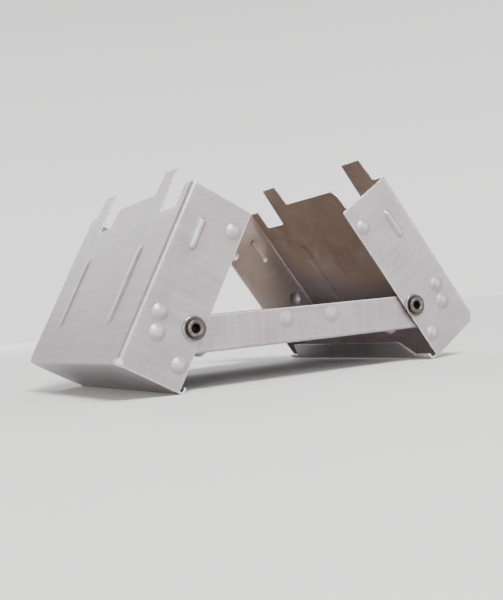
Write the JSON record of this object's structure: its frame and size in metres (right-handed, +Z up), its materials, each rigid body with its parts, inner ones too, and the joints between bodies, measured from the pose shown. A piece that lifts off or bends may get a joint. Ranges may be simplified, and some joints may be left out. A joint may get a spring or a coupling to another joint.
{
  "type": "folding solid fuel stove",
  "caption": "Folding pocket stove of sheet steel: hinged wings with pot-rest tabs stand either side of a shallow tray that holds a solid fuel tablet.",
  "frame": {"origin": "on the ground under the middle of the tray", "axes": "+X along the tray from the left wing to the right wing, -Y is the front, +Z up"},
  "size_m": [0.1078, 0.0798, 0.0573],
  "materials": {
    "zinc_plated_steel": "satin zinc plate with faint rolling marks",
    "rivet_steel": "bright rolled rim",
    "washer_steel": "dark, heat tinted",
    "pressed_fuel": "chalky"
  },
  "bodies": {
    "tray": {"base_tray": "zinc_plated_steel", "hinge_rivet_front_left": "rivet_steel", "hinge_rivet_front_right": "rivet_steel", "hinge_rivet_back_left": "rivet_steel", "hinge_rivet_back_right": "rivet_steel", "hinge_washer_front_left": "washer_steel", "hinge_washer_front_right": "washer_steel", "hinge_washer_back_left": "washer_steel", "hinge_washer_back_right": "washer_steel"},
    "left_wing": {"left_wing": "zinc_plated_steel"},
    "right_wing": {"right_wing": "zinc_plated_steel"},
    "fuel": {"fuel_tablet": "pressed_fuel"}
  },
  "joints": [
    {"name": "left_wing_fold", "type": "hinge", "parent": "tray", "child": "left_wing", "pos_m": [-0.0333, 0, 0.01538], "axis": [0, -1, 0], "range_deg": [-60, 30]},
    {"name": "right_wing_fold", "type": "hinge", "parent": "tray", "child": "right_wing", "pos_m": [0.0333, 0, 0.01538], "axis": [0, 1, 0], "range_deg": [-57, 33]},
    {"name": "fuel_lift", "type": "slide", "parent": "tray", "child": "fuel", "axis": [0, 0, 1], "range_m": [0, 0.07]}
  ]
}
